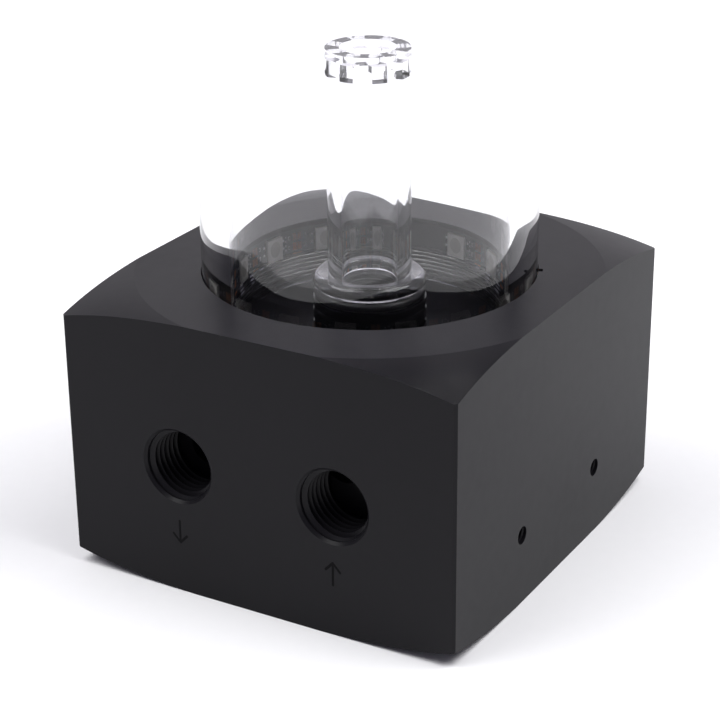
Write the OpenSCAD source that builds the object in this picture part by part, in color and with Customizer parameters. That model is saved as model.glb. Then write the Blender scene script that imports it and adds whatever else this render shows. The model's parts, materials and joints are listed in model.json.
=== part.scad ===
// Coolant pump reservoir: a clear tube between two turned black blocks, with
// an upright return tube inside it, a ring of lamps in the lower block and a
// flat centrifugal pump built into the lower block's underside.
// Millimetres, +Z up, origin at the centre of the footprint, ports towards -Y.

/* [Blocks] */
// Width of both blocks, left to right
block_w = 77; // [74:0.5:90]
// Depth of both blocks, front to back
block_d = 80; // [76:0.5:92]
// Height of the pump block
block_h = 51; // [49:0.5:60]
// Height of the top cap
cap_h = 22; // [20:0.5:30]
// Radius of the flat circle left on a block's outer face
flat_r = 42; // [40:0.5:44]
// How far a block's corners are turned away below its flat circle
corner_drop = 3; // [2:0.25:5]
// Slope of the turned corner where it leaves the flat circle, in degrees
corner_start = 5.5; // [2:0.5:8]
// Bevel down the upright edges
edge_bevel = 0.5; // [0.2:0.1:1]

/* [Reservoir] */
// Outer diameter of the clear tube
tube_od = 60; // [56:0.5:61]
// Wall of the clear tube
tube_wall = 5; // [3:0.25:6]
// Length of the clear tube
tube_len = 150; // [100:5:250]
// Depth of the reservoir floor below the pump block's top
floor_depth = 11; // [10:0.25:11.5]
// Depth of the clear tube's socket in the top cap
cap_socket = 11; // [9:0.5:12]
// Thickness of the top cap's roof
roof_t = 8; // [7:0.5:9]
// Gap all round between the clear tube and its sockets
tube_gap = 0.15; // [0.1:0.01:0.3]
// Cord of the clear tube's seals
tube_seal_d = 2; // [1.5:0.1:2.2]
// Height of a tube seal above the end of the tube
tube_seal_up = 2.3; // [1.8:0.1:2.6]

/* [Return tube] */
// Outer diameter of the return tube
riser_od = 15; // [12:0.5:16]
// Bore of the return tube
riser_id = 10; // [7:0.5:11]
// Length of the return tube from its collar's underside to its open end
riser_len = 43.5; // [32:0.5:90]
// Diameter of the return tube's collar
collar_d = 20.4; // [18:0.2:24]
// Thickness of the return tube's collar
collar_t = 2.8; // [2:0.1:4]
// Height of the collar's underside above the reservoir floor
collar_up = 8; // [7:0.25:10]
// Number of windows round the return tube
window_n = 8; // [4:1:10]
// Width of a window
window_w = 2.6; // [1.5:0.1:3.2]
// Height of a window
window_h = 2.9; // [1.5:0.1:5]
// Ring of tube left above the windows
window_rim = 1.6; // [1:0.1:4]
// Cord of the seal under the collar
collar_seal_d = 1.8; // [1.4:0.1:2.2]
// Length of the spigot below the collar
spigot_l = 6; // [4:0.25:7]
// Depth of the grooves round the return tube's socket
socket_groove = 0.7; // [0.3:0.1:1]

/* [Lamp ring] */
// Number of lamps
lamp_n = 19; // [12:1:19]
// Side of a lamp
lamp_w = 3.6; // [2.8:0.1:4]
// Thickness of a lamp
lamp_t = 1.2; // [0.8:0.1:1.4]
// Width of the lamp strip
strip_w = 5; // [4.5:0.1:5.2]
// Thickness of the lamp strip
strip_t = 0.3; // [0.2:0.05:0.4]
// Direction of the first lamp from +X, in degrees
lamp_dir = 6.9; // [0:0.1:18]
// Opening left in the ring where the strip's two ends meet, in degrees
strip_break = 3; // [1:0.5:5]
// Width of the notch in the lip over the lamp groove
notch_w = 1.2; // [0.8:0.1:2]
// Direction of that notch from +X, in degrees
notch_dir = 24; // [20:0.5:28]
// Height of the lamp groove's top below the block's top
groove_lip = 1; // [0.8:0.1:1.5]

/* [Ports] */
// Crest radius cleared for the pipe threads
port_r = 6.58; // [6.5:0.01:6.7]
// Depth of a port
port_depth = 10; // [8:0.5:11]
// Distance of each front port from the middle
port_x = 15.5; // [14:0.25:17]
// Height of the front ports above the base
port_z = 24.4; // [23:0.1:26]
// Chamfer at the mouth of a port
port_chamfer = 0.5; // [0.2:0.1:1]
// Bore of the ducts behind the ports
duct_d = 7.5; // [5:0.25:8]
// Bore of the suction hole through the reservoir floor
suction_d = 7.5; // [5:0.25:8]
// Distance of the suction hole's mouth from the middle
suction_x = 18.5; // [17.5:0.25:19.5]
// Depth of the well under the return tube, below the reservoir floor
well_depth = 6.5; // [5:0.25:7]

/* [Side holes] */
// Radius of the tapped fixing holes in the right-hand side
side_r = 1.65; // [1.25:0.05:2.1]
// Spacing of the fixing holes
side_spacing = 30; // [24:1:40]
// Height of the fixing holes above the base
side_z = 13.4; // [10:0.2:16]
// Depth of the fixing holes
side_depth = 5; // [3:0.5:5.5]

/* [Plugs] */
// Distance of each top plug from the middle
plug_x = 17; // [15:0.5:18]
// Diameter of a plug's head
plug_head_d = 18; // [16:0.5:20]
// Height of a plug's head
plug_head_h = 4; // [3:0.25:6]
// Length of a plug's shank
plug_shank_l = 8; // [6:0.5:10]
// Wall of a plug's hollow shank
plug_wall = 2.1; // [1.8:0.1:3]
// Gap between a plug's shank and its port
plug_gap = 0.08; // [0.05:0.01:0.1]
// Depth of the counterbore that a plug's head sits in
plug_seat = 1.4; // [1.2:0.1:2]
// Width of the slot across a plug's head
plug_slot_w = 2; // [1.5:0.1:2.5]
// Depth of the slot across a plug's head
plug_slot_d = 1.6; // [1:0.1:2]
// Number of flutes round a plug's head
plug_flutes = 24; // [12:1:30]
// Cord of a plug's seal
plug_seal_d = 1.2; // [1:0.05:1.3]

/* [Pump] */
// Side of the square pump body
pump_w = 62; // [60:0.5:64]
// Corner radius of the pump body
pump_corner = 5; // [4:0.5:7]
// Gap between the pump body and its pocket
pump_gap = 0.5; // [0.3:0.05:0.8]
// Height of the pump body's upper face above the base
pump_top = 17.2; // [16.8:0.1:17.5]
// Thickness of the pump body's upper plate
pump_plate = 3.5; // [3:0.25:4]
// Wall of the pump body's skirt
skirt_wall = 2; // [1.5:0.25:3]
// Bore of the rotor can
can_r = 13; // [12.5:0.25:13.5]
// Wall of the rotor can
can_wall = 0.8; // [0.6:0.1:1.2]
// Gap between the rotor can and the drive board
can_gap = 0.3; // [0.2:0.05:0.6]
// Spacing of the four pump screws
screw_spacing = 51; // [49:0.5:52]
// Thread radius of the pump screws
screw_r = 1.5; // [1.25:0.05:1.75]
// Depth of the pump screws' thread in the block
screw_bite = 7; // [5:0.5:9]
// Thickness of the pump's bottom cover
cover_t = 1.2; // [1:0.1:1.6]
// Height of a pump screw's head
head_h = 1.6; // [1.2:0.1:2]
// Thickness of the drive board
board_t = 1.2; // [0.8:0.1:1.6]
// Gap between the bottom cover and the drive board
board_gap = 0.2; // [0.2:0.05:0.5]
// Cord of the pump body's seal
pump_seal_d = 2; // [1.6:0.1:2.2]
// Middle radius of the pump body's seal
pump_seal_r = 26; // [25:0.25:26.5]

/* [Rotor and stator] */
// Radius of the impeller
impeller_r = 15.5; // [14:0.25:16]
// Number of impeller vanes
vane_n = 6; // [4:1:8]
// Thickness of a vane
vane_t = 1.2; // [0.8:0.1:1.6]
// Height of a vane
vane_h = 4.5; // [3:0.1:5]
// Thickness of the impeller's two discs
disc_t = 1; // [0.8:0.1:1.2]
// Radius of the impeller's eye
eye_r = 5.5; // [4.5:0.25:6]
// Height of the volute above the pump body
volute_h = 9; // [8.8:0.1:9.5]
// Smallest radius of the volute
volute_r = 16.6; // [16.4:0.1:17]
// Growth of the volute's radius over one turn
volute_growth = 3; // [1.5:0.25:3.2]
// Outer radius of the rotor magnet
magnet_r = 12.3; // [11.5:0.1:12.4]
// Inner radius of the rotor magnet
magnet_bore = 7.5; // [6:0.25:8]
// Height of the rotor magnet
magnet_h = 8; // [6:0.25:8.5]
// Radius of the bearing ball
ball_r = 3; // [2.5:0.1:3.4]
// Gap between the ball and its cup
ball_gap = 0.06; // [0.03:0.01:0.1]
// Number of stator teeth
tooth_n = 6; // [4:1:8]
// Outer radius of the stator core
core_r = 25; // [24:0.25:26]
// Height of the stator core
core_h = 5; // [4:0.25:6]

/* [Hidden] */
$fn = 96;
eps = 0.01;
cut = 1;

tube_r = tube_od / 2;
bore_r = tube_r + tube_gap;
tube_bore = tube_r - tube_wall;
floor_z = block_h - floor_depth;
tube_top = floor_z + tube_len;
cap_z = tube_top - cap_socket;
top_z = cap_z + cap_h;
corner_r = norm([block_w, block_d]) / 2;
seal_depth = 0.85;
notch_depth = 0.75;
fit_gap = 0.05;
run_gap = 0.3;

collar_z = floor_z + collar_up;
riser_top = collar_z + riser_len;
socket_r = collar_d / 2;
socket_top = collar_z - collar_seal_d;
riser_r = riser_od / 2;
riser_bore = riser_id / 2;
spigot_r = riser_r - 0.5;
window_z = riser_top - window_rim - window_h;

strip_z = block_h - groove_lip - 0.2 - strip_w;
lamp_z = strip_z + strip_w / 2;
lamp_r = bore_r + 0.2;
strip_r = lamp_r + lamp_t;
groove_r = strip_r + strip_t + 0.3;
groove_z = strip_z - 0.2;
strip_dir = lamp_dir + 1.5 * 360 / lamp_n;
lead_r = 0.6;
lead_mid = bore_r + seal_depth + lead_r + 0.15;

pocket_w = pump_w + 2 * pump_gap;
screw_sink = 0.4;
cover_z = screw_sink + head_h;
cover_top = cover_z + cover_t;
skirt_in = pump_w - 2 * skirt_wall;
volute_top = pump_top + volute_h;
plate_z = pump_top - pump_plate;
board_z = cover_top + board_gap;
can_floor = board_z + board_t + can_gap + can_wall;
can_out = can_r + can_wall;
well_z = floor_z - well_depth;
in_mouth = [port_x, -block_d / 2, port_z];
in_end = [0, 0, well_z + duct_d / 2];
suction_dir = -5;
suction_end = [3, 0, volute_top - 1];
eye_h = 1.5;
clear_hole = screw_r + 0.2;
post_r = 4.5;
head_r = 2.75;
key_r = 1.25;
key_h = 1.1;
seal_groove_h = pump_seal_d * 0.75;
seal_groove_w = pump_seal_d * 1.2;
gland_w = 9;
gland_h = 5;

plug_shank_r = port_r - plug_gap;
plug_floor = top_z - plug_seat;
plug_seal_h = plug_seal_d * 0.8;

disc_z = pump_top + 1;
vane_z = disc_z + disc_t;
shroud_z = vane_z + vane_h;
vane_root = 0.4;
cup_top = disc_z - 1;
ball_z = cup_top - 0.8 - ball_r;
cup_r = ball_r + 1.5;
core_z = (board_z + board_t + plate_z - core_h) / 2;
core_bore = can_out + run_gap;
tooth_w = 4;
yoke_t = 3;
coil_wrap = 2.4;

// ---------------------------------------------------------------- helpers

// Cylinder between two points.
module rod(from, to, r) {
    span = to - from;
    length = norm(span);
    translate(from) rotate([0, acos(span.z / length), atan2(span.y, span.x)])
        cylinder(r = r, h = length);
}

// Puts its children at the four pump screws.
module at_screws() {
    for (x = [-1, 1], y = [-1, 1])
        translate([x * screw_spacing / 2, y * screw_spacing / 2, 0]) children();
}

// Upright square bar with rounded corners.
module rounded_bar(w, h, r) {
    linear_extrude(h) union() {
        square([w - 2 * r, w], center = true);
        square([w, w - 2 * r], center = true);
        for (x = [-1, 1], y = [-1, 1])
            translate([x * (w / 2 - r), y * (w / 2 - r)]) circle(r);
    }
}

// Flat ring of rectangular section.
module ring(outer_r, inner_r, h) {
    difference() {
        cylinder(r = outer_r, h = h);
        translate([0, 0, -cut]) cylinder(r = inner_r, h = h + 2 * cut);
    }
}

// Half section of a block whose top is turned away beyond its flat circle. The
// cut is an arc that leaves the circle at corner_start and meets the corner.
module turned_section(h) {
    run = corner_r - flat_r;
    chord = norm([run, corner_drop]);
    arc_r = chord / (2 * sin(atan2(corner_drop, run) - corner_start));
    square([flat_r, h]);
    translate([flat_r, 0]) intersection() {
        square([run + 2, h]);
        translate([-arc_r * sin(corner_start), h - arc_r * cos(corner_start)])
            circle(arc_r, $fn = 360);
    }
}

// Block with bevelled upright edges and turned corners, top and bottom.
module turned_block(h) {
    x = block_w / 2;
    y = block_d / 2;
    b = edge_bevel;
    intersection() {
        linear_extrude(h) polygon([[x - b, y], [x, y - b], [x, b - y], [x - b, -y],
            [b - x, -y], [-x, b - y], [-x, y - b], [b - x, y]]);
        rotate_extrude() turned_section(h);
        translate([0, 0, h]) mirror([0, 0, 1]) rotate_extrude() turned_section(h);
    }
}

// Threaded port with a chamfered mouth at the origin, going down.
module port_cut(depth) {
    translate([0, 0, -depth]) cylinder(r = port_r, h = depth + cut);
    translate([0, 0, -port_chamfer])
        cylinder(r1 = port_r, r2 = port_r + port_chamfer + cut, h = port_chamfer + cut);
}

// Groove in a socket's wall for a seal round the clear tube.
module tube_seal_cut() {
    translate([0, 0, -tube_seal_d / 2 - 0.1])
        ring(bore_r + seal_depth, bore_r - cut, tube_seal_d + 0.2);
}

// Seal squeezed between the clear tube and its groove.
module tube_seal() {
    translate([0, 0, -tube_seal_d / 2]) ring(bore_r + seal_depth, tube_r, tube_seal_d);
}

// ---------------------------------------------------------------- blocks

// Spiral chamber that opens from volute_r by volute_growth over one turn.
module volute_cut() {
    translate([0, 0, pump_top - cut]) linear_extrude(volute_h + cut)
        polygon([for (a = [0:7.5:360])
            (volute_r + volute_growth * a / 360) * [cos(a + 180), sin(a + 180)]]);
}

module pump_block() {
    color([0.07, 0.07, 0.08]) difference() {
        turned_block(block_h);
        // reservoir bore, seal groove, lamp groove and the lead hole below it
        translate([0, 0, floor_z]) cylinder(r = bore_r, h = block_h);
        translate([0, 0, floor_z + tube_seal_up]) tube_seal_cut();
        translate([0, 0, groove_z]) cylinder(r = groove_r, h = block_h - groove_lip - groove_z);
        rotate(notch_dir) translate([bore_r - cut, -notch_w / 2, groove_z])
            cube([cut + notch_depth, notch_w, block_h]);
        rotate(strip_dir) translate([lead_mid, 0, pump_top - cut])
            cylinder(r = lead_r, h = groove_z - pump_top + 2 * cut);
        // front ports, their ducts and the well under the return tube
        for (x = [-port_x, port_x])
            translate([x, -block_d / 2, port_z]) rotate([90, 0, 0]) port_cut(port_depth);
        rod([-port_x, port_depth - cut - block_d / 2, port_z], [-port_x, -4, port_z], duct_d / 2);
        rod(in_mouth, in_end, duct_d / 2);
        translate([0, 0, well_z]) cylinder(r = riser_bore, h = block_h);
        // pump chamber, its eye and the suction hole from the reservoir floor
        volute_cut();
        translate([0, 0, volute_top - cut]) cylinder(r = eye_r, h = eye_h + cut);
        rotate(suction_dir) rod(suction_end, [suction_x, 0, floor_z + 0.5], suction_d / 2);
        // pump pocket, its screw holes and the cable outlet
        translate([0, 0, -cut]) rounded_bar(pocket_w, pump_top + cut, pump_corner);
        at_screws() translate([0, 0, pump_top - cut])
            cylinder(r = screw_r + fit_gap, h = screw_bite + cut);
        translate([-gland_w / 2, pocket_w / 2 - cut, -cut])
            cube([gland_w, block_d / 2, gland_h + cut]);
        // fixing holes in the right-hand side
        for (y = [-1, 1])
            translate([block_w / 2 - side_depth, y * side_spacing / 2, side_z])
                rotate([0, 90, 0]) cylinder(r = side_r, h = side_depth + cut);
    }
}

module top_cap() {
    color([0.07, 0.07, 0.08]) translate([0, 0, cap_z]) difference() {
        turned_block(cap_h);
        translate([0, 0, -cut]) cylinder(r = bore_r, h = cap_socket + cut);
        translate([0, 0, -cut]) cylinder(r = tube_bore, h = cap_h - roof_t + cut);
        translate([0, 0, cap_socket - tube_seal_up]) tube_seal_cut();
        for (x = [-plug_x, plug_x]) translate([x, 0, cap_h - plug_seat]) {
            port_cut(roof_t);
            cylinder(d = plug_head_d + 1, h = plug_seat + cut);
        }
    }
}

// ---------------------------------------------------------------- reservoir

module reservoir_tube() {
    color([0.9, 0.93, 0.95, 0.3]) translate([0, 0, floor_z]) ring(tube_r, tube_bore, tube_len);
}

module tube_seal_lower() {
    color([0.03, 0.03, 0.03]) translate([0, 0, floor_z + tube_seal_up]) tube_seal();
}

module tube_seal_upper() {
    color([0.03, 0.03, 0.03]) translate([0, 0, tube_top - tube_seal_up]) tube_seal();
}

// Turned boss, grooved round its outside, that the return tube plugs into.
module riser_socket() {
    color([0.05, 0.05, 0.06]) difference() {
        translate([0, 0, floor_z]) cylinder(r = socket_r, h = socket_top - floor_z);
        cylinder(r = riser_bore, h = block_h);
        translate([0, 0, collar_z - spigot_l - run_gap]) cylinder(r = spigot_r + fit_gap, h = block_h);
        for (z = [1.6, 4]) translate([0, 0, floor_z + z])
            ring(socket_r + cut, socket_r - socket_groove, 0.9);
    }
}

module riser_tube() {
    color([0.92, 0.94, 0.96, 0.3]) difference() {
        rotate_extrude() translate([riser_bore, 0]) union() {
            translate([0, collar_z]) square([riser_r - riser_bore, riser_top - collar_z]);
            translate([0, collar_z - spigot_l]) square([spigot_r - riser_bore, spigot_l + cut]);
            translate([0, collar_z]) square([socket_r - collar_t / 2 - riser_bore, collar_t]);
            translate([socket_r - collar_t / 2 - riser_bore, collar_z + collar_t / 2])
                circle(d = collar_t);
        }
        for (i = [0:window_n - 1]) rotate(i * 360 / window_n)
            translate([riser_bore - cut, -window_w / 2, window_z])
                cube([riser_r, window_w, window_h]);
    }
}

module riser_seal() {
    color([0.03, 0.03, 0.03]) translate([0, 0, socket_top + collar_seal_d / 2])
        rotate_extrude() translate([socket_r - 0.2 - collar_seal_d / 2, 0])
            circle(d = collar_seal_d);
}

module lamp_strip() {
    color([0.05, 0.05, 0.07]) translate([0, 0, strip_z]) difference() {
        ring(strip_r + strip_t, strip_r, strip_w);
        rotate(strip_dir) translate([0, 0, -cut]) linear_extrude(strip_w + 2 * cut)
            polygon([[0, 0], 2 * strip_r * [1, -tan(strip_break / 2)],
                2 * strip_r * [1, tan(strip_break / 2)]]);
    }
}

// The lamps stand on the strip, evenly round the ring, and face inwards.
module lamps() {
    color([0.93, 0.92, 0.87]) for (i = [0:lamp_n - 1])
        rotate(lamp_dir + i * 360 / lamp_n)
            translate([lamp_r, -lamp_w / 2, lamp_z - lamp_w / 2])
                cube([lamp_t - fit_gap, lamp_w, lamp_w]);
}

// ---------------------------------------------------------------- plugs

// Hollow stop plug, slotted for a coin, with a fluted rim.
module plug_at(x) {
    translate([x, 0, plug_floor]) difference() {
        union() {
            cylinder(d = plug_head_d, h = plug_head_h);
            translate([0, 0, -plug_shank_l]) cylinder(r = plug_shank_r, h = plug_shank_l + cut);
        }
        translate([-plug_head_d, -plug_slot_w / 2, plug_head_h - plug_slot_d])
            cube([2 * plug_head_d, plug_slot_w, plug_slot_d + cut]);
        for (i = [0:plug_flutes - 1]) rotate((i + 0.5) * 360 / plug_flutes)
            translate([plug_head_d / 2 + 0.35, 0, plug_seat])
                cylinder(r = 0.8, h = plug_head_h);
        translate([0, 0, -eps])
            ring(plug_shank_r + plug_seal_d + run_gap, plug_shank_r, plug_seal_h + eps);
        translate([0, 0, -plug_shank_l - cut])
            cylinder(r = plug_shank_r - plug_wall, h = plug_shank_l + cut);
    }
}

module plug_seal_at(x) {
    translate([x, 0, plug_floor])
        ring(plug_shank_r + plug_seal_d, plug_shank_r + fit_gap, plug_seal_h - fit_gap);
}

module fill_plug() {
    color([0.08, 0.08, 0.09]) plug_at(-plug_x);
}

module fill_plug_seal() {
    color([0.03, 0.03, 0.03]) plug_seal_at(-plug_x);
}

module vent_plug() {
    color([0.08, 0.08, 0.09]) plug_at(plug_x);
}

module vent_plug_seal() {
    color([0.03, 0.03, 0.03]) plug_seal_at(plug_x);
}

// ---------------------------------------------------------------- pump

// Square plate with the rotor can hanging from it, a skirt and four posts.
module pump_body() {
    color([0.12, 0.12, 0.13]) difference() {
        union() {
            difference() {
                translate([0, 0, cover_top])
                    rounded_bar(pump_w, pump_top - cover_top, pump_corner - pump_gap);
                translate([0, 0, cover_top - cut])
                    rounded_bar(skirt_in, plate_z - cover_top + cut, pump_corner - pump_gap);
            }
            at_screws() translate([0, 0, cover_top])
                cylinder(r = post_r, h = pump_top - cover_top);
            translate([0, 0, can_floor - can_wall])
                cylinder(r = can_out, h = pump_top - can_floor + can_wall);
        }
        translate([0, 0, can_floor]) cylinder(r = can_r, h = pump_top - can_floor + cut);
        translate([0, 0, pump_top - seal_groove_h])
            ring(pump_seal_r + seal_groove_w / 2, pump_seal_r - seal_groove_w / 2,
                seal_groove_h + cut);
        at_screws() cylinder(r = clear_hole, h = block_h);
        rotate(strip_dir) translate([lead_mid, 0, cover_top - cut])
            cylinder(r = lead_r + run_gap, h = block_h);
        translate([-gland_w / 2, skirt_in / 2 - cut, cover_top - cut])
            cube([gland_w, skirt_wall + 2 * cut, gland_h]);
    }
}

module pump_seal() {
    color([0.03, 0.03, 0.03]) translate([0, 0, pump_top - seal_groove_h])
        ring(pump_seal_r + pump_seal_d / 2, pump_seal_r - pump_seal_d / 2, seal_groove_h);
}

// Yoke with inward teeth round the rotor can.
module stator_core() {
    color([0.55, 0.56, 0.58]) translate([0, 0, core_z]) linear_extrude(core_h) difference() {
        union() {
            difference() {
                circle(core_r);
                circle(core_r - yoke_t);
            }
            for (i = [0:tooth_n - 1]) rotate(i * 360 / tooth_n)
                translate([0, -tooth_w / 2]) square([core_r - yoke_t / 2, tooth_w]);
        }
        circle(core_bore);
    }
}

// One winding round each tooth.
module stator_coils() {
    inner = core_bore + 1.2;
    coil_l = core_r - yoke_t - 0.5 - inner;
    coil_h = core_h + 2 * 1.2;
    color([0.72, 0.4, 0.2]) for (i = [0:tooth_n - 1])
        rotate(i * 360 / tooth_n) translate([inner, 0, core_z + core_h / 2]) difference() {
            translate([0, -tooth_w / 2 - coil_wrap, -coil_h / 2])
                cube([coil_l, tooth_w + 2 * coil_wrap, coil_h]);
            translate([-cut, -tooth_w / 2 - fit_gap, -core_h / 2 - fit_gap])
                cube([coil_l + 2 * cut, tooth_w + 2 * fit_gap, core_h + 2 * fit_gap]);
        }
}

module drive_board() {
    color([0.05, 0.3, 0.16]) translate([0, 0, board_z]) difference() {
        rounded_bar(skirt_in - 2 * run_gap, board_t, pump_corner);
        at_screws() translate([0, 0, -cut]) cylinder(r = post_r + run_gap, h = board_t + 2 * cut);
    }
}

module bottom_cover() {
    color([0.1, 0.1, 0.11]) translate([0, 0, cover_z]) difference() {
        rounded_bar(pump_w, cover_t, pump_corner - pump_gap);
        at_screws() translate([0, 0, -cut]) cylinder(r = clear_hole, h = cover_t + 2 * cut);
    }
}

module pump_screws() {
    color([0.6, 0.61, 0.63]) at_screws() difference() {
        union() {
            translate([0, 0, screw_sink]) cylinder(r = head_r, h = head_h);
            translate([0, 0, cover_z - cut])
                cylinder(r = screw_r, h = pump_top + screw_bite - 1 - cover_z + cut);
        }
        translate([0, 0, screw_sink - cut]) cylinder(r = key_r, h = key_h + cut, $fn = 6);
    }
}

// ---------------------------------------------------------------- rotor

module bearing_post() {
    color([0.75, 0.76, 0.78]) difference() {
        translate([0, 0, can_floor]) cylinder(r = 2, h = ball_z - 1.5 - can_floor);
        translate([0, 0, ball_z]) sphere(ball_r + 0.02);
    }
}

module bearing_ball() {
    color([0.92, 0.92, 0.9]) translate([0, 0, ball_z]) sphere(ball_r);
}

// Cup of the rotor that rides on the ball.
module bearing_cup() {
    color([0.2, 0.2, 0.21]) difference() {
        translate([0, 0, ball_z - 0.4]) cylinder(r = cup_r, h = cup_top - ball_z + 0.4);
        translate([0, 0, ball_z]) sphere(ball_r + ball_gap);
        translate([0, 0, ball_z - cut]) cylinder(r = ball_r + ball_gap, h = cut);
    }
}

// Back disc, swept vanes, front disc with the eye, and the hub below.
module impeller() {
    sweep_r = impeller_r * 0.75;
    color([0.85, 0.85, 0.83]) union() {
        difference() {
            union() {
                translate([0, 0, disc_z]) cylinder(r = impeller_r, h = disc_t);
                translate([0, 0, disc_z - magnet_h])
                    cylinder(r = magnet_bore - fit_gap, h = magnet_h + disc_t / 2);
            }
            translate([0, 0, disc_z - magnet_h - cut])
                cylinder(r = cup_r + fit_gap, h = cup_top - disc_z + magnet_h + cut);
        }
        translate([0, 0, shroud_z]) ring(impeller_r, eye_r - 0.5, disc_t);
        translate([0, 0, vane_z - vane_root]) linear_extrude(vane_h + 2 * vane_root)
            for (i = [0:vane_n - 1]) rotate(i * 360 / vane_n) intersection() {
                difference() {
                    circle(impeller_r - vane_root);
                    circle(eye_r);
                }
                translate([0, -sweep_r]) difference() {
                    circle(sweep_r + vane_t / 2);
                    circle(sweep_r - vane_t / 2);
                    translate([-4 * sweep_r, -2 * sweep_r]) square(4 * sweep_r);
                }
            }
    }
}

module rotor_magnet() {
    color([0.3, 0.3, 0.32]) translate([0, 0, disc_z - magnet_h])
        ring(magnet_r, magnet_bore, magnet_h);
}

// Rubber bush that the two leads leave through, flush with the back.
module cable_grommet() {
    depth = (block_d - pocket_w) / 2 - 0.2;
    color([0.04, 0.04, 0.04]) difference() {
        translate([fit_gap - gland_w / 2, pocket_w / 2, run_gap])
            cube([gland_w - 2 * fit_gap, depth, gland_h - run_gap]);
        for (lead = [[-1.6, 1.6], [2.4, 1]])
            translate([lead.x, pocket_w / 2 - cut, gland_h / 2]) rotate([-90, 0, 0])
                cylinder(r = lead.y, h = depth + 2 * cut);
    }
}

pump_block();
reservoir_tube();
tube_seal_lower();
tube_seal_upper();
top_cap();
riser_socket();
riser_tube();
riser_seal();
lamp_strip();
lamps();
fill_plug();
fill_plug_seal();
vent_plug();
vent_plug_seal();
pump_body();
pump_seal();
stator_core();
stator_coils();
drive_board();
bottom_cover();
pump_screws();
bearing_post();
bearing_ball();
impeller();
rotor_magnet();
bearing_cup();
cable_grommet();
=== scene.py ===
"""Looks of the coolant pump reservoir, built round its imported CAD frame."""
import json
import math
import random

import bmesh
import bpy
from mathutils import Matrix, Vector


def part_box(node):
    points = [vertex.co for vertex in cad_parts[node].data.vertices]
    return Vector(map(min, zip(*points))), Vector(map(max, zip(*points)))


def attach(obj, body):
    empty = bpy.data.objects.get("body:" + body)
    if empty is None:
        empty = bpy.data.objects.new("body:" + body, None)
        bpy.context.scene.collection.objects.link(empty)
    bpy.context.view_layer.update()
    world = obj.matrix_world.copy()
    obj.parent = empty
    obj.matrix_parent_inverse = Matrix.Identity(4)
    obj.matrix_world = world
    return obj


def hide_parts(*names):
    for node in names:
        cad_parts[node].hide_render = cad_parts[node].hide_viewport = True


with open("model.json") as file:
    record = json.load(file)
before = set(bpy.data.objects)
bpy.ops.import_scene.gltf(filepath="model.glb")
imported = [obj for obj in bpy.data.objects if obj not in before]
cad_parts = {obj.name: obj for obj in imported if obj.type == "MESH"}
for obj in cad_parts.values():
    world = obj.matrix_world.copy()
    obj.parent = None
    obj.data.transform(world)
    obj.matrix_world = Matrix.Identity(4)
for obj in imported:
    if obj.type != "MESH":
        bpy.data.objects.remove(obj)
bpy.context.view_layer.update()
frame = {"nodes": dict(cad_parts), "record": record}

MM = 0.001
TURN = 2 * math.pi
NODES = frame["nodes"]
RECORD = frame["record"]

# ------------------------------------------------------------------ camera

VIEW_AZIMUTH = math.radians(30.25)


def make_camera():
    """Camera at the photograph's viewing angle, looking slightly down at the base."""
    azimuth, elevation, roll = VIEW_AZIMUTH, math.radians(23.52), math.radians(-0.555)
    distance = 379.7 * MM
    target = Vector((-1.31, -1.49, 32.77)) * MM
    back = Vector((math.sin(azimuth) * math.cos(elevation),
                   -math.cos(azimuth) * math.cos(elevation),
                   math.sin(elevation)))
    right = Vector((math.cos(azimuth), math.sin(azimuth), 0))
    up = back.cross(right)
    x_axis = right * math.cos(roll) + up * math.sin(roll)
    y_axis = up * math.cos(roll) - right * math.sin(roll)
    data = bpy.data.cameras.new("camera")
    data.lens = 104.25
    data.sensor_width = 36
    data.clip_start = 0.01
    camera = bpy.data.objects.new("camera", data)
    bpy.context.scene.collection.objects.link(camera)
    rotation = Matrix((x_axis, y_axis, back)).transposed().to_4x4()
    camera.matrix_world = Matrix.Translation(target + back * distance) @ rotation
    bpy.context.scene.camera = camera


make_camera()

# ------------------------------------------------------------------ sizes

block_lo, block_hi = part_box("pump_block")
tube_lo, tube_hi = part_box("reservoir_tube")
strip_lo, strip_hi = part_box("lamp_strip")

MOUNTS = {m["name"]: m for m in RECORD["mounts"]}
PORT_R = MOUNTS["out_port"]["dims"]["r_mm"] * MM
PORT_Z = MOUNTS["out_port"]["pos_m"][2]
PORT_X = MOUNTS["in_port"]["pos_m"][0]
PORT_DEPTH = MOUNTS["in_port"]["dims"]["length_mm"] * MM
PIPE_PITCH = 1.337 * MM
THREAD_H = 0.85 * MM

TUBE_R = tube_hi.x
TUBE_WALL = 5 * MM
STRIP_R = strip_hi.x - 0.3 * MM
LAMP_N = 14
LAMP_W = 4.8 * MM
LAMP_H = 4.1 * MM
LAMP_Z = strip_lo.z + 0.1 * MM + LAMP_H / 2
STRIP_JOINT = math.radians(97)
LAMP_FIRST = math.radians(15.8)
LAMP_STEP = (TURN - 2 * LAMP_FIRST) / (LAMP_N - 1)
LAMP_FACE_R = STRIP_R - 1.2 * MM
SIDE_HOLE = MOUNTS["side_fixing"]

ARROW_LOW, ARROW_HIGH = 9.7 * MM, 13.9 * MM
ARROW_WING_X, ARROW_WING_Z = 1.4 * MM, 1.5 * MM
ARROW_EDGE_IN, ARROW_EDGE_OUT = 0.21 * MM, 0.27 * MM
ARROW_DEPTH = 0.3 * MM

# ------------------------------------------------------------------ materials


def node(tree, kind, inputs=None, **settings):
    """Adds a shader node, sets its inputs and its other settings."""
    made = tree.nodes.new("ShaderNode" + kind)
    for name, value in settings.items():
        setattr(made, name, value)
    for name, value in (inputs or {}).items():
        socket = made.inputs[name]
        if isinstance(value, bpy.types.NodeSocket):
            tree.links.new(value, socket)
        else:
            socket.default_value = value
    return made


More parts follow.
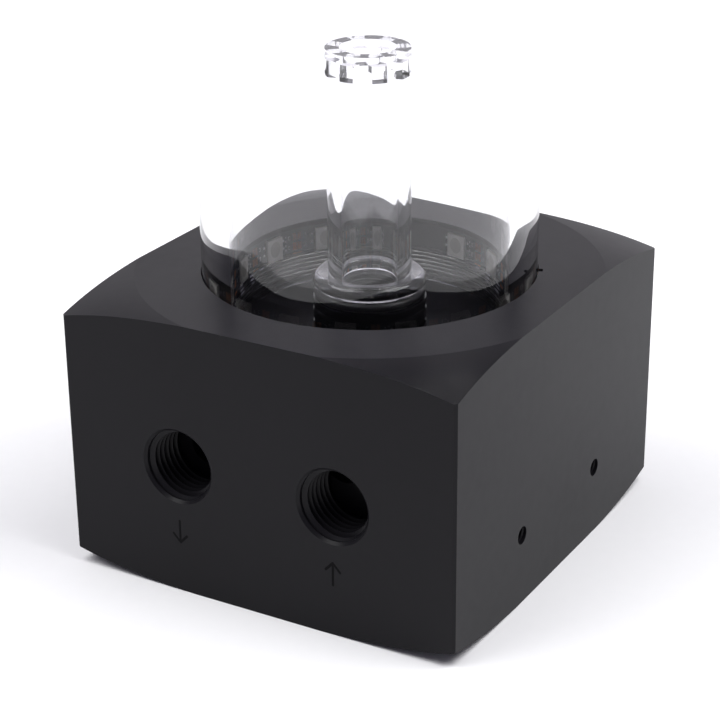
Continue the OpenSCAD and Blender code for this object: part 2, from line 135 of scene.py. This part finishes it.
def new_material(name, **values):
    """A material with one principled shader; returns it with its tree and shader."""
    material = bpy.data.materials.new(name)
    material.use_nodes = True
    tree = material.node_tree
    shader = tree.nodes["Principled BSDF"]
    for key, value in values.items():
        shader.inputs[key.replace("_", " ")].default_value = value
    return material, tree, shader


def colour_mix(tree, factor, low, high):
    """A colour between low and high."""
    return node(tree, "Mix", {"Factor": factor, 6: low, 7: high}, data_type="RGBA").outputs[2]


def spread(tree, value, low, high):
    """Maps a 0 to 1 value to the range low to high."""
    return node(tree, "MapRange", {"Value": value, "To Min": low, "To Max": high}).outputs[0]


def bump(tree, shader, height, strength, distance):
    """Drives the shader's normal with a height value."""
    made = node(tree, "Bump", {"Height": height, "Strength": strength, "Distance": distance})
    tree.links.new(made.outputs[0], shader.inputs["Normal"])


def stroke(tree, place, start, end):
    """Distance from a front-face point to the line between two (x, z) points, in metres."""
    a = (start[0], 0, start[1])
    d = (end[0] - start[0], 0, end[1] - start[1])
    offset = node(tree, "VectorMath", {0: place, 1: a}, operation="SUBTRACT").outputs[0]
    along = node(tree, "VectorMath", {0: offset, 1: d}, operation="DOT_PRODUCT").outputs["Value"]
    share = node(tree, "Math", {0: along, 1: d[0] ** 2 + d[2] ** 2}, operation="DIVIDE",
                 use_clamp=True).outputs[0]
    near = node(tree, "VectorMath", {0: d, "Scale": share}, operation="SCALE").outputs[0]
    away = node(tree, "VectorMath", {0: offset, 1: near}, operation="SUBTRACT").outputs[0]
    away = node(tree, "VectorMath", {0: away, 1: (1, 0, 1)}, operation="MULTIPLY").outputs[0]
    return node(tree, "VectorMath", {0: away}, operation="LENGTH").outputs["Value"]


def arrow_mask(tree, place):
    """1 inside the flow arrows drawn under the two front ports, 0 elsewhere."""
    strokes = []
    for x, tip, wing in ((-PORT_X, ARROW_LOW, ARROW_WING_Z), (PORT_X, ARROW_HIGH, -ARROW_WING_Z)):
        strokes.append(((x, ARROW_LOW), (x, ARROW_HIGH)))
        strokes += [((x, tip), (x + side * ARROW_WING_X, tip + wing)) for side in (-1, 1)]
    nearest = stroke(tree, place, *strokes[0])
    for start, end in strokes[1:]:
        nearest = node(tree, "Math", {0: nearest, 1: stroke(tree, place, start, end)},
                       operation="MINIMUM").outputs[0]
    inside = node(tree, "MapRange", {"Value": nearest, "From Min": ARROW_EDGE_OUT,
                                     "From Max": ARROW_EDGE_IN}).outputs[0]
    depth = node(tree, "SeparateXYZ", {0: place}).outputs[1]
    front = node(tree, "Math", {0: depth, 1: block_lo.y + ARROW_DEPTH},
                 operation="LESS_THAN").outputs[0]
    return node(tree, "Math", {0: inside, 1: front}, operation="MULTIPLY").outputs[0]


def satin_black(name, base, rough, ring_pitch=0.22 * MM, specular=0.13, arrows=False):
    """Machined black plastic: fine tool rings on turned faces, a grain on the milled ones."""
    material, tree, shader = new_material(name)
    place = node(tree, "TexCoord").outputs["Object"]
    parts = node(tree, "SeparateXYZ", {0: place})
    flat = node(tree, "CombineXYZ", {0: parts.outputs[0], 1: parts.outputs[1]})
    radius = node(tree, "VectorMath", {0: flat.outputs[0]}, operation="LENGTH").outputs["Value"]
    rings = node(tree, "Math", {0: radius, 1: TURN / ring_pitch}, operation="MULTIPLY").outputs[0]
    rings = node(tree, "Math", {0: rings}, operation="SINE").outputs[0]
    facing = node(tree, "SeparateXYZ", {0: node(tree, "NewGeometry").outputs["Normal"]}).outputs[2]
    facing = node(tree, "Math", {0: facing}, operation="ABSOLUTE").outputs[0]
    turned = node(tree, "Math", {0: facing, 1: 0.9}, operation="GREATER_THAN").outputs[0]
    rings = node(tree, "Math", {0: rings, 1: turned}, operation="MULTIPLY").outputs[0]
    grain = node(tree, "TexNoise", {"Vector": place, "Scale": 2600, "Detail": 3}).outputs[0]
    cloud = node(tree, "TexNoise", {"Vector": place, "Scale": 45, "Detail": 5}).outputs[0]
    scuff = node(tree, "TexNoise", {"Vector": place, "Scale": 420, "Detail": 2}).outputs[0]
    mixed = node(tree, "Math", {0: cloud, 1: scuff}, operation="MULTIPLY").outputs[0]
    tree.links.new(spread(tree, mixed, rough - 0.04, rough + 0.07), shader.inputs["Roughness"])
    tint = colour_mix(tree, cloud, (*(c * 0.88 for c in base), 1), (*(c * 1.14 for c in base), 1))
    height = node(tree, "Math", {0: rings, 1: 0.35, 2: grain}, operation="MULTIPLY_ADD").outputs[0]
    if arrows:
        mask = arrow_mask(tree, place)
        tint = colour_mix(tree, mask, tint, (0.0025, 0.0023, 0.003, 1))
        height = node(tree, "Math", {0: mask, 1: -12, 2: height}, operation="MULTIPLY_ADD").outputs[0]
        level = node(tree, "MapRange", {"Value": mask, "To Min": specular, "To Max": 0.05}).outputs[0]
        tree.links.new(level, shader.inputs["Specular IOR Level"])
    else:
        shader.inputs["Specular IOR Level"].default_value = specular
    tree.links.new(tint, shader.inputs["Base Color"])
    bump(tree, shader, height, 0.25, 0.01 * MM)
    return material


def clear_acrylic(name, tint, wave):
    """Clear acrylic with the slight draw lines and waviness of an extruded tube."""
    material, tree, shader = new_material(
        name, Base_Color=(*tint, 1), Roughness=0.0, IOR=1.49, Transmission_Weight=1.0)
    place = node(tree, "TexCoord").outputs["Object"]
    stretch = node(tree, "Mapping", {"Vector": place, "Scale": (1, 1, 0.03)}).outputs[0]
    lines = node(tree, "TexNoise", {"Vector": stretch, "Scale": 260, "Detail": 2}).outputs[0]
    bump(tree, shader, lines, wave, 0.02 * MM)
    return material


def moulded(name, base, rough, scale=900, depth=0.02, specular=0.5):
    """Moulded plastic with a fine spark-eroded texture."""
    material, tree, shader = new_material(name, Specular_IOR_Level=specular)
    place = node(tree, "TexCoord").outputs["Object"]
    grain = node(tree, "TexNoise", {"Vector": place, "Scale": scale, "Detail": 4}).outputs[0]
    cloud = node(tree, "TexNoise", {"Vector": place, "Scale": 60, "Detail": 3}).outputs[0]
    tint = colour_mix(tree, cloud, (*(c * 0.85 for c in base), 1), (*(c * 1.15 for c in base), 1))
    tree.links.new(tint, shader.inputs["Base Color"])
    tree.links.new(spread(tree, grain, rough - 0.06, rough + 0.06), shader.inputs["Roughness"])
    bump(tree, shader, grain, 0.35, depth * MM)
    return material


def metal(name, base, rough, scale=(1, 1, 30)):
    """Metal with fine directional scratches."""
    material, tree, shader = new_material(name, Metallic=1.0)
    place = node(tree, "TexCoord").outputs["Object"]
    drawn = node(tree, "Mapping", {"Vector": place, "Scale": scale}).outputs[0]
    lines = node(tree, "TexNoise", {"Vector": drawn, "Scale": 700, "Detail": 4}).outputs[0]
    tint = colour_mix(tree, lines, (*(c * 0.85 for c in base), 1), (*(min(1, c * 1.1) for c in base), 1))
    tree.links.new(tint, shader.inputs["Base Color"])
    tree.links.new(spread(tree, lines, rough - 0.05, rough + 0.1), shader.inputs["Roughness"])
    bump(tree, shader, lines, 0.2, 0.01 * MM)
    return material


BLACK_BASE = (0.0068, 0.0064, 0.0080)
BLACK = satin_black("satin_black", BLACK_BASE, 0.36)
BLOCK_BLACK = satin_black("block_black", BLACK_BASE, 0.36, arrows=True)
SOCKET_BLACK = satin_black("socket_black", (0.008, 0.008, 0.0095), 0.2, 0.35 * MM, 0.5)
PLUG_BLACK = metal("plug_black", (0.05, 0.05, 0.055), 0.32, (1, 1, 1))
TUBE_CLEAR = clear_acrylic("tube_clear", (0.985, 0.985, 0.995), 0.05)
RISER_CLEAR = clear_acrylic("riser_clear", (0.98, 0.98, 0.99), 0.08)
RUBBER = moulded("seal_rubber", (0.012, 0.012, 0.012), 0.42, 1500, 0.01)
FILM = moulded("strip_film", (0.018, 0.017, 0.026), 0.3, 1200, 0.01)
LAMP_WHITE = moulded("lamp_white", (0.86, 0.84, 0.78), 0.35, 1800, 0.01)
LENS = moulded("lamp_lens", (0.6, 0.58, 0.52), 0.12, 600, 0.01)
COPPER = metal("pad_copper", (0.72, 0.28, 0.12), 0.35, (1, 1, 1))
MARK = moulded("strip_mark", (0.72, 0.71, 0.72), 0.5, 1800, 0.01)
PLASTIC = moulded("pump_plastic", (0.03, 0.03, 0.032), 0.5)
COVER = moulded("cover_plastic", (0.026, 0.026, 0.028), 0.55, 600, 0.04)
STEEL = metal("screw_steel", (0.55, 0.55, 0.57), 0.28)
CORE = metal("core_steel", (0.45, 0.45, 0.47), 0.4, (1, 1, 60))
WIRE = metal("coil_copper", (0.75, 0.36, 0.16), 0.3, (1, 1, 40))
BOARD = moulded("board_green", (0.02, 0.17, 0.07), 0.3, 900, 0.02)
CERAMIC = moulded("ceramic_white", (0.85, 0.84, 0.8), 0.12, 400, 0.005)
IMPELLER = moulded("impeller_plastic", (0.74, 0.74, 0.72), 0.42)
MAGNET = metal("magnet_dark", (0.16, 0.16, 0.17), 0.5, (1, 1, 1))
CARBON = moulded("cup_carbon", (0.03, 0.03, 0.03), 0.35)

NODE_MATERIALS = {
    "pump_block": BLOCK_BLACK, "top_cap": BLACK, "riser_socket": SOCKET_BLACK,
    "tube_seal_lower": RUBBER, "tube_seal_upper": RUBBER, "riser_seal": RUBBER,
    "fill_plug_seal": RUBBER, "vent_plug_seal": RUBBER, "pump_seal": RUBBER,
    "cable_grommet": RUBBER, "lamp_strip": FILM, "pump_body": PLASTIC,
    "bottom_cover": COVER, "pump_screws": STEEL, "stator_core": CORE,
    "stator_coils": WIRE, "drive_board": BOARD, "bearing_post": STEEL,
    "bearing_ball": CERAMIC, "impeller": IMPELLER, "rotor_magnet": MAGNET,
    "bearing_cup": CARBON, "riser_tube": RISER_CLEAR, "fill_plug": PLUG_BLACK,
    "vent_plug": PLUG_BLACK,
}
for name, material in NODE_MATERIALS.items():
    mesh = NODES[name].data
    mesh.materials.clear()
    mesh.materials.append(material)

# ------------------------------------------------------------------ mesh helpers


def add_object(name, mesh, material, body):
    """Puts a mesh in the scene as a smooth-shaded piece that rides on a body."""
    mesh.materials.append(material)
    mesh.polygons.foreach_set("use_smooth", [True] * len(mesh.polygons))
    mesh.set_sharp_from_angle(angle=math.radians(35))
    piece = bpy.data.objects.new(name, mesh)
    bpy.context.scene.collection.objects.link(piece)
    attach(piece, body)
    return piece


def mesh_from(name, vertices, faces):
    """A mesh with its faces turned outwards."""
    mesh = bpy.data.meshes.new(name)
    mesh.from_pydata(vertices, [], faces)
    work = bmesh.new()
    work.from_mesh(mesh)
    bmesh.ops.recalc_face_normals(work, faces=work.faces)
    work.to_mesh(mesh)
    work.free()
    return mesh


def lathe(name, profile, steps=180):
    """Revolves a closed (radius, height) outline about Z."""
    count = len(profile)
    vertices = [(r * math.cos(TURN * i / steps), r * math.sin(TURN * i / steps), z)
                for i in range(steps) for r, z in profile]
    faces = [(i * count + k, i * count + (k + 1) % count,
              (i + 1) % steps * count + (k + 1) % count, (i + 1) % steps * count + k)
             for i in range(steps) for k in range(count)]
    return mesh_from(name, vertices, faces)


def thread(name, root_r, crest_r, pitch, length, steps=72):
    """Helical ridge from root_r to crest_r, running out at both ends, along +Z from 0."""
    turns = length / pitch - 1
    total = int(turns * steps)
    half_root, half_crest = pitch * 0.42, pitch * 0.08
    vertices = []
    for i in range(total + 1):
        angle = TURN * i / steps
        height = pitch * (i / steps + 0.5)
        fade = min(1, i / (steps / 3), (total - i) / (steps / 3))
        tip = root_r + (crest_r - root_r) * max(fade, 0.04)
        for r, z in ((root_r, -half_root), (tip, -half_crest), (tip, half_crest), (root_r, half_root)):
            vertices.append((r * math.cos(angle), r * math.sin(angle), height + z))
    faces = [(4 * i + k, 4 * i + (k + 1) % 4, 4 * i + 4 + (k + 1) % 4, 4 * i + 4 + k)
             for i in range(total) for k in range(4)]
    faces += [(0, 1, 2, 3), (4 * total, 4 * total + 1, 4 * total + 2, 4 * total + 3)]
    return mesh_from(name, vertices, faces)


def join(name, meshes):
    """One mesh from several (mesh, matrix) pairs."""
    work = bmesh.new()
    for mesh, matrix in meshes:
        part = mesh.copy()
        part.transform(matrix)
        work.from_mesh(part)
        bpy.data.meshes.remove(part)
    joined = bpy.data.meshes.new(name)
    work.to_mesh(joined)
    work.free()
    return joined


def rounded_box(name, size, bevel, segments=2):
    """Box centred on the origin with rounded edges."""
    work = bmesh.new()
    bmesh.ops.create_cube(work, size=1, matrix=Matrix.Diagonal((*size, 1)))
    bmesh.ops.bevel(work, geom=work.edges[:], offset=bevel, segments=segments,
                    affect="EDGES", profile=0.5)
    mesh = bpy.data.meshes.new(name)
    work.to_mesh(mesh)
    work.free()
    return mesh


# ------------------------------------------------------------------ clear tubes


def make_reservoir_tube():
    """Clear tube with polished end edges and fine turned rings round its foot."""
    outer, inner = TUBE_R, TUBE_R - TUBE_WALL
    ease = 0.35 * MM
    low, high = tube_lo.z, tube_hi.z
    pitch, depth, count = 0.8 * MM, 0.34 * MM, 6
    grooves = [(outer - depth * (k % 2), low + 0.45 * MM + pitch * k / 2)
               for k in range(2 * count + 1)]
    above_grooves = grooves[-1][1] + 0.1 * MM
    profile = [(inner, low + ease), (inner + ease, low), (outer - ease, low), *grooves,
               (outer, above_grooves), (outer, high - ease), (outer - ease, high),
               (inner + ease, high), (inner, high - ease)]
    piece = add_object("clear_tube", lathe("clear_tube", profile, 256), TUBE_CLEAR,
                       "base")
    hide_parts("reservoir_tube")


make_reservoir_tube()

# ------------------------------------------------------------------ ports


def make_port_threads():
    """Pipe thread standing inwards from each front port's wall."""
    ridge = thread("ridge", PORT_R + 0.02 * MM, PORT_R - THREAD_H, PIPE_PITCH, PORT_DEPTH)
    turn = Matrix.Rotation(math.radians(-90), 4, "X")
    mouth = block_lo.y + 0.4 * MM
    for side, x in (("out", -PORT_X), ("in", PORT_X)):
        mesh = join(f"{side}_port_thread", [(ridge, Matrix.Translation((x, mouth, PORT_Z)) @ turn)])
        add_object(f"{side}_port_thread", mesh, BLACK, "base")


make_port_threads()


def make_side_threads():
    """Screw thread in the two fixing holes of the right-hand side."""
    radius = SIDE_HOLE["dims"]["hole_r_mm"] * MM
    pitch, length, height_in = 0.7 * MM, 4.4 * MM, 0.3 * MM
    ridge = thread("ridge", radius + 0.02 * MM, radius - height_in, pitch, length, 40)
    turn = Matrix.Rotation(math.radians(-90), 4, "Y")
    half = SIDE_HOLE["dims"]["spacing_x_mm"] * MM / 2
    height = SIDE_HOLE["pos_m"][2]
    mouth = block_hi.x - 0.3 * MM
    mesh = join("side_threads", [(ridge, Matrix.Translation((mouth, y, height)) @ turn)
                                 for y in (-half, half)])
    add_object("side_threads", mesh, BLACK, "base")


make_side_threads()

# ------------------------------------------------------------------ lamp ring


def on_ring(angle, across, height, radius):
    """Matrix at a place on the lamp ring: X outwards, Y along the strip, Z up."""
    turn = Matrix.Rotation(angle, 4, "Z")
    return turn @ Matrix.Translation((radius, across, height))


def lamp_angles():
    """Lamp places round the axis, starting after the strip's joint."""
    return [STRIP_JOINT + LAMP_FIRST + i * LAMP_STEP for i in range(LAMP_N)]


def make_lamps():
    """White lamp bodies with bevelled edges and a round dish in each face."""
    front, back, bevel = LAMP_FACE_R + 0.08 * MM, STRIP_R - 0.12 * MM, 0.14 * MM
    body = rounded_box("lamp_body", (back - front, LAMP_W, LAMP_H), bevel)
    places = [on_ring(a, 0, LAMP_Z, (front + back) / 2) for a in lamp_angles()]
    bodies = add_object("lamp_bodies", join("lamp_bodies", [(body, m) for m in places]),
                        LAMP_WHITE, "base")
    dish_r = LAMP_H * 0.40
    rim = [(dish_r, 0), (dish_r + 0.12 * MM, 0.02 * MM), (dish_r + 0.12 * MM, 0.05 * MM),
           (dish_r - 0.1 * MM, 0.05 * MM)]
    turn = Matrix.Rotation(math.radians(-90), 4, "Y")
    faces = [on_ring(a, 0, LAMP_Z, front) for a in lamp_angles()]
    rims = join("lamp_rims", [(lathe("rim", rim, 48), m @ turn) for m in faces])
    add_object("lamp_rims", rims, LAMP_WHITE, "base")
    pole = 0.0001 * MM
    dome = [(pole, 0)] + [(dish_r * k / 5, 0.01 * MM) for k in range(1, 6)]
    dome += [(dish_r, -0.02 * MM), (pole, -0.02 * MM)]
    lenses = join("lamp_lenses", [(lathe("lens", dome, 48), m @ turn) for m in faces])
    add_object("lamp_lenses", lenses, LENS, "base")
    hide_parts("lamps")


def make_strip_marks():
    """Copper cutting pads half way between lamps, with small white bars and dots, in mm."""
    copper, white = [], []
    plate = 0.05 * MM
    radius = STRIP_R - plate
    bar_x, dot_x, row_x = 2.15, LAMP_W / MM / 2 + 0.75, LAMP_W / MM / 2 + 1.45

    def tile(store, angle, across, up, wide, high):
        """Adds a thin plate at a place given from the lamp row's middle."""
        box = rounded_box("tile", (plate, wide * MM, high * MM), 0.01 * MM, 1)
        store.append((box, on_ring(angle + across * MM / radius, 0, LAMP_Z + up * MM, radius)))

    shift = random.Random(7)
    for angle in lamp_angles()[:-1]:
        middle = angle + LAMP_STEP / 2
        for across in (-0.62, 0.62):
            for up in (-0.95, 0.95):
                tile(copper, middle, across, up, 1.02, 1.45)
        tile(copper, middle, 0, 0, 0.12, 2.6)
        for side in (-1, 1):
            for up in (-1.0, 0.9):
                tile(white, middle, side * bar_x, up + 0.32, 0.5, 0.14)
                tile(white, middle, side * (bar_x + 0.16), up, 0.14, 0.6)
                tile(white, middle, side * (bar_x - 0.1), up - 0.3, 0.36, 0.14)
    for angle in lamp_angles():
        for up in (-0.75, 0.75):
            tile(white, angle, dot_x, up, 0.42, 0.42)
            tile(white, angle, -dot_x, up, 0.42, 0.42)
        for up in (-1.3, -0.45, 0.4, 1.25):
            tile(white, angle, -row_x, up, 0.3, 0.3 + 0.25 * shift.random())
    add_object("strip_pads", join("strip_pads", copper), COPPER, "base")
    add_object("strip_marks", join("strip_marks", white), MARK, "base")


make_lamps()
make_strip_marks()

# ------------------------------------------------------------------ stage


def make_surround():
    """Dim studio all round, with a bright backdrop low behind the object."""
    world = bpy.data.worlds.new("surround")
    bpy.context.scene.world = world
    world.use_nodes = True
    tree = world.node_tree
    direction = node(tree, "TexCoord").outputs["Generated"]
    back = (-math.sin(VIEW_AZIMUTH), math.cos(VIEW_AZIMUTH), 0)
    along = node(tree, "VectorMath", {0: direction, 1: back}, operation="DOT_PRODUCT").outputs["Value"]
    height = node(tree, "SeparateXYZ", {0: direction}).outputs[2]
    wide = node(tree, "MapRange", {"Value": along, "From Min": 0.55, "From Max": 0.93},
                interpolation_type="SMOOTHSTEP").outputs[0]
    low = node(tree, "MapRange", {"Value": height, "From Min": 0.72, "From Max": 0.40},
               interpolation_type="SMOOTHSTEP").outputs[0]
    glow = node(tree, "Math", {0: wide, 1: low}, operation="MULTIPLY").outputs[0]
    sky = colour_mix(tree, glow, (0.20, 0.193, 0.235, 1), (1.0, 0.97, 1.04, 1))
    tree.links.new(sky, tree.nodes["Background"].inputs["Color"])
    tree.nodes["Background"].inputs["Strength"].default_value = 1.0


def make_floor():
    """Plain pale paper under the object."""
    mesh = bpy.data.meshes.new("floor")
    reach = 6
    mesh.from_pydata([(-reach, -reach, 0), (reach, -reach, 0), (reach, reach, 0), (-reach, reach, 0)],
                     [], [(0, 1, 2, 3)])
    material, tree, shader = new_material("floor_paper", Roughness=0.9, Specular_IOR_Level=0.1)
    place = node(tree, "TexCoord").outputs["Object"]
    grain = node(tree, "TexNoise", {"Vector": place, "Scale": 400, "Detail": 2}).outputs[0]
    tint = colour_mix(tree, grain, (0.93, 0.93, 0.935, 1), (0.95, 0.95, 0.955, 1))
    tree.links.new(tint, shader.inputs["Base Color"])
    mesh.materials.append(material)
    floor = bpy.data.objects.new("floor", mesh)
    floor.location.z = block_lo.z - 0.02 * MM
    bpy.context.scene.collection.objects.link(floor)


def add_light(name, azimuth, elevation, reach, size, power):
    """Soft square light facing the object, azimuth from the view's right-hand side."""
    turn = VIEW_AZIMUTH + math.radians(azimuth)
    rise = math.radians(elevation)
    place = Vector((math.cos(turn) * math.cos(rise), math.sin(turn) * math.cos(rise),
                    math.sin(rise))) * reach
    data = bpy.data.lights.new(name, "AREA")
    data.size = size
    data.energy = power
    lamp = bpy.data.objects.new(name, data)
    lamp.location = place
    aim = Vector((0, 0, 0.05)) - place
    lamp.rotation_euler = aim.to_track_quat("-Z", "Y").to_euler()
    bpy.context.scene.collection.objects.link(lamp)


make_surround()
make_floor()
add_light("right_light", -10, 62, 1.6, 1.1, 22)
add_light("left_light", 190, 62, 1.6, 1.1, 19)
bpy.context.scene.view_settings.view_transform = "Standard"
